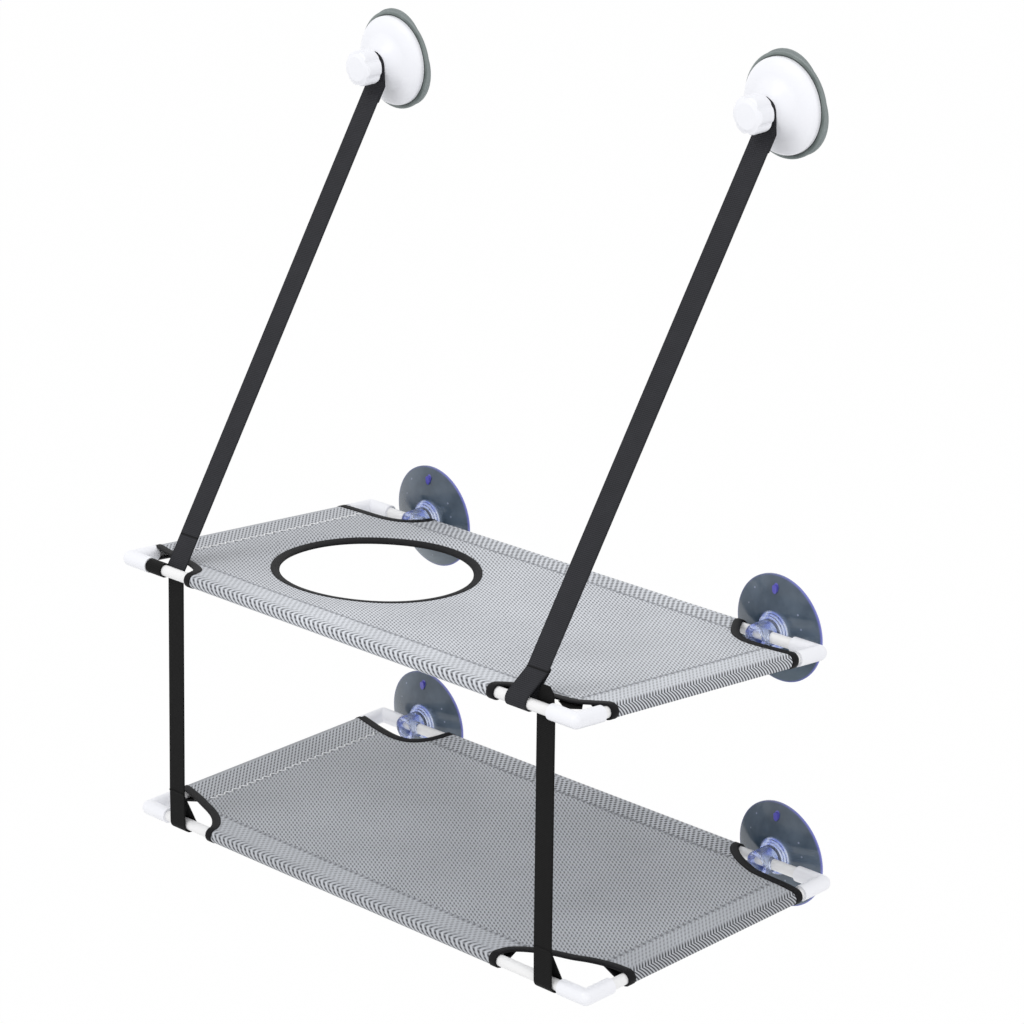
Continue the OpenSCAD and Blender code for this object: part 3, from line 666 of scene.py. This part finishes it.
def cutPath(deck, signX, signY):
    # From the end of the front or rear flap, round the cut-out, to the side flap's end: flat places and
    # the flat direction into the cloth at each
    curve = smoothLine([(a / 1000, f / 1000) for a, f in cutEdges[deck, signX, signY]], notchSteps["smooth"])
    first, last = curve[0], curve[-1]
    line = evenly([Vector((first.x, -flaps["plain"]["length"])), first], notchSteps["tape"])
    line += evenly(curve, notchSteps["tape"])[1:]
    side = sideName(deck, signX)
    under = max(point.y for point in curve if point.x < seamInsets[side])
    line += evenly([last, Vector((-flaps[side]["length"], under))], notchSteps["tape"])[1:]
    path = []
    for k, place in enumerate(line):
        ahead = line[min(k + 2, len(line) - 1)] - line[max(k - 2, 0)]
        inward = Vector((ahead.y, -ahead.x)).normalized()
        path.append(((signX * (halfWidth - place.x), signY * (halfDepth - place.y)),
                     (-signX * inward.x, -signY * inward.y)))
    return path


def cutRing(deck, signX, signY, grow):
    # A ring of flat places round a cut-out grown by a margin
    ring = [(x + nx * grow, y + ny * grow) for (x, y), (nx, ny) in cutPath(deck, signX, signY)]
    farX, farY = signX * (halfWidth + notchSteps["beyond"]), signY * (halfDepth + notchSteps["beyond"])
    return ring + [(farX, ring[-1][1]), (farX, farY), (ring[0][0], farY)]


def isInside(x, y, ring):
    inside = False
    for (ax, ay), (bx, by) in zip(ring, ring[1:] + ring[:1]):
        if (ay > y) != (by > y) and x < ax + (bx - ax) * (y - ay) / (by - ay):
            inside = not inside
    return inside


corners = [(signX, signY) for signX in (-1, 1) for signY in (-1, 1)]


def makeCover(deck, material):
    xs = clothLines(halfWidth, cloth["panelCells"][0], flaps[deck + "Left"])
    ys = clothLines(halfDepth, cloth["panelCells"][1], flaps["plain"])
    grid, uv = makeGrid(len(xs) - 1, len(ys) - 1, (1, 1))
    flatPlace = {}
    for vert in grid.verts:
        column = round((vert.co.x + 0.5) * (len(xs) - 1))
        row = round((vert.co.y + 0.5) * (len(ys) - 1))
        flatPlace[vert.index] = (xs[column], ys[row])
        vert.co = Vector((xs[column], ys[row], 0))
    gone = []
    rings = {corner: cutRing(deck, *corner, notchSteps["hidden"]) for corner in corners}
    for face in grid.faces:
        middle = face.calc_center_median()
        corner = (1 if middle.x > 0 else -1, 1 if middle.y > 0 else -1)
        fromHole = math.hypot(middle.x - hole["across"], middle.y - hole["along"])
        if isInside(middle.x, middle.y, rings[corner]):
            gone.append(face)
        elif deck == "upper" and fromHole < hole["radius"] + notchSteps["hidden"]:
            gone.append(face)
        for loop in face.loops:
            loop[uv].uv = loop.vert.co.xy
    bmesh.ops.delete(grid, geom=gone, context="FACES")
    area = sum(face.calc_area() for face in grid.faces)
    for vert in grid.verts:
        vert.co = onCloth(deck, vert.co.xy)
    piece = finishPiece(deck + "Cover", grid, material)
    thicken(piece, cloth["thickness"])
    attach(piece, deck + "_deck")
    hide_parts(deck + "_mesh_cover")
    return piece, area


tape = {"width": 0.008, "above": 0.0011, "below": 0.0008, "round": 0.0005}


def tapeSection():
    # Round the folded tape: across it from the cut edge, and up from the cloth's middle
    w, a, b, r = tape["width"], tape["above"], tape["below"], tape["round"]
    return [(w, a * 0.75), (w - r, a), (r * 2, a), (r * 0.6, a * 0.75), (0, 0.15 * a),
            (r * 0.6, -b * 0.8), (r * 2, -b), (w - r, -b), (w, -b * 0.7), (w, a * 0.75)]


def makeTapeStrip(mesh, deck, path, closed):
    # path: flat places and the flat direction into the cloth at each
    section = tapeSection()
    strip = bmesh.new()
    bmesh.ops.create_grid(strip, x_segments=len(section) - 1, y_segments=len(path) - 1, size=0.5)
    layer = strip.loops.layers.uv.new("cloth")
    length = [0.0]
    for k in range(1, len(path)):
        length.append(length[-1] + (Vector(path[k][0]) - Vector(path[k - 1][0])).length)
    for vert in strip.verts:
        vert.co.z = 0
    for face in strip.faces:
        for loop in face.loops:
            i = round((loop.vert.co.x + 0.5) * (len(section) - 1))
            k = round((loop.vert.co.y + 0.5) * (len(path) - 1))
            loop[layer].uv = (section[i][0], length[k])
    for vert in strip.verts:
        i = round((vert.co.x + 0.5) * (len(section) - 1))
        k = round((vert.co.y + 0.5) * (len(path) - 1))
        (px, py), (nx, ny) = path[k]
        inward, lift = section[i]
        vert.co = onCloth(deck, (px + nx * inward, py + ny * inward), lift)
    bmesh.ops.remove_doubles(strip, verts=strip.verts, dist=0.00001)
    if not closed:
        bmesh.ops.holes_fill(strip, edges=[edge for edge in strip.edges if edge.is_boundary])
    bmesh.ops.recalc_face_normals(strip, faces=strip.faces)
    data = bpy.data.meshes.new("strip")
    strip.to_mesh(data)
    strip.free()
    mesh.from_mesh(data)
    bpy.data.meshes.remove(data)


def makeEdgeTape(deck):
    mesh = bmesh.new()
    mesh.loops.layers.uv.new("cloth")
    for corner in corners:
        makeTapeStrip(mesh, deck, cutPath(deck, *corner), False)
    piece = finishPiece(deck + "EdgeTape", mesh, blackTape)
    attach(piece, deck + "_deck")
    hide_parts(deck + "_edge_binding")
    return piece


def makeHoleTape():
    mesh = bmesh.new()
    mesh.loops.layers.uv.new("cloth")
    path = []
    for k in range(hole["steps"] + 1):
        angle = 2 * math.pi * k / hole["steps"]
        out = (math.cos(angle), math.sin(angle))
        path.append(((hole["across"] + hole["radius"] * out[0], hole["along"] + hole["radius"] * out[1]), out))
    makeTapeStrip(mesh, "upper", path, True)
    piece = finishPiece("upperHoleTape", mesh, blackTape)
    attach(piece, "upper_deck")
    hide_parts("upper_hole_binding")
    return piece


stitch = {"pitch": 0.0069, "length": 0.0042, "width": 0.0007, "height": 0.0010, "bevel": 0.00018,
          "tapeSpare": 0.011}
zigzag = {"pitch": 0.0046, "length": 0.0054, "width": 0.0014, "turn": 48}  # on the left seams


def seamPlaces(deck):
    # Flat place, direction and size of each stitch, from tape to tape along the four seams
    rings = [cutRing(deck, *corner, stitch["tapeSpare"]) for corner in corners]
    for sign in (-1, 1):
        ends = ((1, 0), halfWidth, sign * (halfDepth - seamInsets["plain"]))
        sides = ((0, 1), halfDepth, sign * (halfWidth - seamInsets[sideName(deck, sign)]))
        for way, half, fixed in (ends, sides):
            look = zigzag if way[1] and sign < 0 else stitch
            count = int(half / look["pitch"])
            for k in range(-count, count + 1):
                far = k * look["pitch"]
                flat = (far, fixed) if way[0] else (fixed, far)
                if not any(isInside(*flat, ring) for ring in rings):
                    yield flat, way, look, look.get("turn", 0) * (1 if k % 2 else -1)


def makeSeams(deck):
    mesh = bmesh.new()
    lift = cloth["thickness"] / 2 + stitch["height"] * 0.3
    for flat, way, look, angle in seamPlaces(deck):
        middle = onCloth(deck, flat, lift)
        ahead = onCloth(deck, (flat[0] + way[0] * 0.001, flat[1] + way[1] * 0.001), lift)
        turn = (ahead - middle).normalized().to_track_quat("X", "Z").to_matrix().to_4x4()
        turn = turn @ Matrix.Rotation(math.radians(angle), 4, "Z")
        size = Matrix.Diagonal((look["length"], look["width"], stitch["height"], 1))
        bmesh.ops.create_cube(mesh, size=1, matrix=Matrix.Translation(middle) @ turn @ size)
    bmesh.ops.bevel(mesh, geom=mesh.edges[:], offset=stitch["bevel"], segments=1, affect="EDGES", profile=0.5,
                    material=-1, offset_type="OFFSET")
    piece = finishPiece(deck + "SeamStitches", mesh, seamThread)
    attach(piece, deck + "_deck")
    return piece


# Corners in mm from the right side tube and the front tube, the first two under the tape
tag = {
    "corners": [(36, 15), (22, 30), (13, 19.5), (23, 9)],
    "size": (0.017, 0.016),
    "cells": 8,
    "under": 0.0020,
    "hang": 0.0018,
    "thickness": 0.0007,
}


def makeTag():
    grid, _ = makeGrid(tag["cells"], tag["cells"], tag["size"])
    a, b, c, d = (Vector(corner) / 1000 for corner in tag["corners"])
    for vert in grid.verts:
        u, v = vert.co.x + 0.5, vert.co.y + 0.5
        flat = a.lerp(b, u).lerp(d.lerp(c, u), v)
        vert.co = onCloth("upper", (halfWidth - flat.x, flat.y - halfDepth), -tag["under"] - tag["hang"] * v * v)
    piece = finishPiece("upperTag", grid, lowerWebbing)
    thicken(piece, tag["thickness"])
    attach(piece, "upper_deck")
    return piece


for deck, material in (("upper", upperCloth), ("lower", lowerCloth)):
    cover, area = makeCover(deck, material)
    edgeTape = makeEdgeTape(deck)
    seams = makeSeams(deck)
    together = [edgeTape, seams]
    if deck == "upper":
        together += [makeHoleTape(), makeTag()]
    flatSize = (perch["width"] + flaps["plain"]["length"] + flaps[deck + "Left"]["length"],
                perch["depth"] + 2 * flaps["plain"]["length"])
    print(deck, "cover made, flat", [round(part, 4) for part in flatSize], "area", round(area, 4))


strap = {
    "thickness": 0.0012,
    "ringRadius": 0.00595,
    "plate": 0.0248,  # from the glass to the back of the strap's end on the collar
    "below": 0.0185,  # where it turns out under the knob
    "sewn": 0.016,
    "tail": 0.032,
    "collarHole": 0.0086,
    "step": 0.0026,
    "layer": 0.0013,  # from one layer's middle to the next one's
    "cells": 12,
    "blunt": 0.12,  # half widths of a rounded end's last row
    "cutBehind": -0.0285,  # the collar's hole is cut in what lies nearer the glass than this
}
# Places across the deck, at the loops and along the runs
hanging = {
    "width": strapWidths["hanging"],
    "run": {"left": -0.2315, "right": 0.232},
    "loop": {"left": -0.2315, "right": 0.222},
}
dropping = {
    "width": strapWidths["dropping"],
    "lowRadius": 0.0065,
    "top": {"left": -0.2315, "right": 0.245},
    "low": {"left": -0.237, "right": 0.242},
    "behind": (0.00755, -0.003),  # from the rail to the left one's upper end, behind the hanging strap
    "fold": (0.018, -0.008),  # heights over the rail between which the right one lies on the hanging strap
}
endRingPlace = -0.247
# Left and right edge of the folded end on the right drop strap: heights over the rail and half widths
foldEdges = {"left": [(-0.008, -1.0), (0.0066, -0.9), (0.018, -0.2)], "right": [(0.012, 1.0), (0.018, 0.6)]}
upperRail = Vector((-perch["standoff"] - perch["depth"] * math.cos(math.radians(perch["upperTilt"])),
                    perch["depth"] * math.sin(math.radians(perch["upperTilt"]))))
lowerRail = Vector((-perch["standoff"] - perch["depth"], -perch["lowerDrop"]))


def arcLine(centre, radius, fromDegrees, toDegrees, steps):
    return [centre + Vector((math.cos(math.radians(a)), math.sin(math.radians(a)))) * radius
            for a in (fromDegrees + (toDegrees - fromDegrees) * k / steps for k in range(steps + 1))]


def readOff(places, at):
    # The value at a place, from a short table of places and values
    if at <= places[0][0]:
        return places[0][1]
    for (a, low), (b, high) in zip(places, places[1:]):
        if at <= b:
            return low + (high - low) * (at - a) / (b - a)
    return places[-1][1]


def makeStrap(name, line, width, acrossAt, material, edgesAt=None, cut=None):
    # line: places in Y and Z; acrossAt gives the middle's X for a height, edgesAt its two edges in half widths
    line = evenly(line, strap["step"])
    grid, uv = makeGrid(strap["cells"], len(line) - 1, (1, 1))
    far = [0.0]
    for before, after in zip(line, line[1:]):
        far.append(far[-1] + (after - before).length)
    row = {}
    for vert in grid.verts:
        k = round((vert.co.y + 0.5) * (len(line) - 1))
        vert.co = Vector((vert.co.x * width, far[k], 0))
        row[vert] = k
    for face in grid.faces:
        for loop in face.loops:
            loop[uv].uv = loop.vert.co.xy
    for vert in grid.verts:
        y, z = line[row[vert]]
        left, right = edgesAt(z) if edgesAt else (-1, 1)
        share = vert.co.x / width + 0.5
        vert.co = Vector((acrossAt(z) + (left + (right - left) * share) * width / 2, y, z))
    if cut:
        gone = [face for face in grid.faces if cut(face.calc_center_median())]
        bmesh.ops.delete(grid, geom=gone, context="FACES")
    piece = finishPiece(name, grid, material, recalculate=False)
    thicken(piece, strap["thickness"], 0.0003)
    return piece


def hangingLine(side):
    # From the sewn end behind the strap, over the top, down the front, and out to the rail
    sign = sides[side]
    cup = cupHeights[side]
    t = strap["layer"]
    turn = Vector((-strap["plate"] - 1.5 * t, cup - strap["below"]))
    run = turn - upperRail
    slope = math.atan2(run.y, run.x) - sign * math.asin(strap["ringRadius"] / run.length)
    along = Vector((math.cos(slope), math.sin(slope)))
    back = turn + Vector((t, 0))
    ring = slope + sign * math.pi / 2
    touch = upperRail + Vector((math.cos(ring), math.sin(ring))) * strap["ringRadius"]
    sewnEnd = back - along * strap["sewn"]
    top = cup + hanging["width"] / 2
    fold = arcLine(Vector((turn.x + t / 2, top - t / 2)), t / 2, 0, 180, 6)
    plate = [sewnEnd, back + Vector((0, 0.0002))] + fold
    bend = [turn + Vector((0, 0.004)), turn + Vector((-0.0003, 0.0012)), turn - along * 0.0022, turn - along * 0.006]
    return plate + bend + [touch], math.degrees(ring), slope


for side, sign in sides.items():
    line, ring, slope = hangingLine(side)
    cup = cupHeights[side]
    turnZ = cup - strap["below"]
    foldZ = upperRail.y + strap["ringRadius"]
    if side == "right":
        foldZ = upperRail.y + strap["tail"] * math.sin(slope)
        leave = Vector((math.cos(slope), math.sin(slope)))
        aside = Vector((-leave.y, leave.x)) * (strap["ringRadius"] - strap["thickness"] * 1.02)
        join = upperRail + leave * strap["tail"] + aside
        line = line + arcLine(upperRail, strap["ringRadius"], ring, ring + 207, 16)[1:] + [join]
    else:
        line = line + arcLine(upperRail, strap["ringRadius"], ring, ring - 25, 4)[1:]
    middles = [(upperRail.y + strap["ringRadius"], hanging["loop"][side]), (foldZ + 0.0001, hanging["run"][side]),
               (turnZ, sign * cupAcross)]

    def acrossAt(z, middles=middles):
        return readOff(middles, z)

    def roundEnd(z, cup=cup):
        over = max(0.0, z - cup) / (hanging["width"] / 2)
        half = math.sqrt(max(0.0, 1 - min(1.0, over) ** 2))
        return -max(strap["blunt"], half), max(strap["blunt"], half)

    def aroundCollar(middle, x=sign * cupAcross, cup=cup):
        return middle.y > strap["cutBehind"] and math.hypot(middle.x - x, middle.z - cup) < strap["collarHole"]

    piece = makeStrap("hangingStrap" + side.capitalize(), line, hanging["width"], acrossAt, upperWebbing,
                      roundEnd, aroundCollar)
    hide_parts("hanging_strap_" + side)
    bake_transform(piece)
print("hanging straps made")

# The left strap's end goes round the rail beside the elbow
ringLine = arcLine(upperRail, strap["ringRadius"], 60, 420, 28)
endRing = makeStrap("hangingStrapEndRing", ringLine, dropping["width"], lambda z: endRingPlace, lowerWebbing)
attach(endRing, "upper_deck")

for side in sides:
    if side == "left":
        top = [upperRail + Vector(dropping["behind"])]
    else:
        top = [upperRail + Vector((strap["ringRadius"], height)) for height in dropping["fold"]]
    around = arcLine(lowerRail, dropping["lowRadius"], 180, 180 + 205, 16)
    join = lowerRail + Vector((-dropping["lowRadius"] + strap["thickness"] * 1.02, strap["tail"]))
    middles = [(lowerRail.y + strap["tail"], dropping["low"][side]),
               (upperRail.y + dropping["fold"][1], dropping["top"][side])]

    def acrossAt(z, middles=middles):
        return readOff(middles, z)

    def foldedEnd(z):
        return tuple(readOff(foldEdges[edge], z - upperRail.y) for edge in ("left", "right"))

    piece = makeStrap("dropStrap" + side.capitalize(), top + around + [join], dropping["width"], acrossAt,
                      lowerWebbing, foldedEnd if side == "right" else None)
    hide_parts("drop_strap_" + side)
    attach(piece, "drop_strap_" + side)
    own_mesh(piece)
print("drop straps made")


def dress(name, material):
    slots = nodes[name].data.materials
    slots.clear()
    slots.append(material)


for name in nodes:
    if name.endswith("_tube"):
        dress(name, whitePvc)
    elif "elbow" in name or "cup_cap" in name or name.startswith("knob"):
        dress(name, whiteMoulding)
    elif name.startswith("pull_stud"):
        dress(name, steel)
for name, x in clearCups.items():
    height = 0 if name.startswith("upper") else -perch["lowerDrop"]
    dress(name, makeClearVinyl(name + "Vinyl", (x, 0, height)))
for side, sign in sides.items():
    dress("rubber_disc_" + side, makeRubber("rubber" + side.capitalize(), (sign * cupAcross, 0, cupHeights[side])))
print("nodes dressed")


studio = {
    "floorHeight": -0.80,
    "floorSize": 30,
    "floorGlow": 0.985,
    "ambient": 0.88,
    "lightWidth": 1.6,
    "aim": (0, -0.15, 0.1),
    "key": {"place": (-0.6, -2.2, 2.6), "power": 18},
    "fill": {"place": (2.4, -1.2, 0.9), "power": 6},
}


def seenDirectly(tree):
    # 1 for what the camera sees, also in a mirror or through a clear part
    rays = tree.nodes.new("ShaderNodeLightPath").outputs
    through = calculate(tree, "MAXIMUM", rays["Is Glossy Ray"], rays["Is Transmission Ray"])
    return calculate(tree, "MAXIMUM", rays["Is Camera Ray"], through)


def makeFloor():
    mesh = bmesh.new()
    bmesh.ops.create_grid(mesh, x_segments=1, y_segments=1, size=studio["floorSize"],
                          matrix=Matrix.Translation((0, 0, studio["floorHeight"])))
    material, tree, shader = startMaterial("paleFloor", (0.90, 0.90, 0.90), 0.9)
    glow = tree.nodes.new("ShaderNodeEmission")
    mixed = tree.nodes.new("ShaderNodeMixShader")
    tree.links.new(multiply(tree, seenDirectly(tree), studio["floorGlow"]), mixed.inputs[0])
    tree.links.new(shader.outputs[0], mixed.inputs[1])
    tree.links.new(glow.outputs[0], mixed.inputs[2])
    tree.links.new(mixed.outputs[0], tree.nodes["Material Output"].inputs["Surface"])
    finishPiece("floor", mesh, material, smooth=False)


def makeLight(name, place, power):
    data = bpy.data.lights.new(name, "AREA")
    data.shape = "DISK"
    data.size = studio["lightWidth"]
    data.energy = power
    light = bpy.data.objects.new(name, data)
    bpy.context.scene.collection.objects.link(light)
    light.location = place
    light.rotation_euler = (Vector(studio["aim"]) - Vector(place)).to_track_quat("-Z", "Y").to_euler()


def makeWorld():
    world = bpy.data.worlds.new("studio")
    bpy.context.scene.world = world
    world.use_nodes = True
    tree = world.node_tree
    ground = tree.nodes["Background"]
    level = rescale(tree, seenDirectly(tree), 0, 1, studio["ambient"], 1.0, smooth=False)
    tree.links.new(level, ground.inputs["Strength"])
    ground.inputs["Color"].default_value = (1, 1, 1, 1)


view = {"azimuth": 47.296463, "elevation": 19.759071, "roll": -2.582571, "distance": 3.4,
        "lens": 132.352, "across": -0.078545, "up": 0.051159}


def makeCamera():
    azimuth, elevation, roll = (math.radians(view[key]) for key in ("azimuth", "elevation", "roll"))
    back = Vector((math.sin(azimuth) * math.cos(elevation), -math.cos(azimuth) * math.cos(elevation),
                   math.sin(elevation)))
    right = (-back).cross(Vector((0, 0, 1))).normalized()
    up = right.cross(-back)
    right, up = (right * math.cos(roll) + up * math.sin(roll), up * math.cos(roll) - right * math.sin(roll))
    data = bpy.data.cameras.new("camera")
    data.lens, data.sensor_width = view["lens"], 36
    data.clip_start, data.clip_end = 0.05, 200
    camera = bpy.data.objects.new("camera", data)
    bpy.context.scene.collection.objects.link(camera)
    camera.matrix_world = Matrix((right, up, back)).transposed().to_4x4()
    camera.location = back * view["distance"] + right * view["across"] + up * view["up"]
    bpy.context.scene.camera = camera


makeFloor()
makeWorld()
makeLight("keyLight", **studio["key"])
makeLight("fillLight", **studio["fill"])
makeCamera()
bpy.context.scene.view_settings.view_transform = "Standard"

print("scene ready")
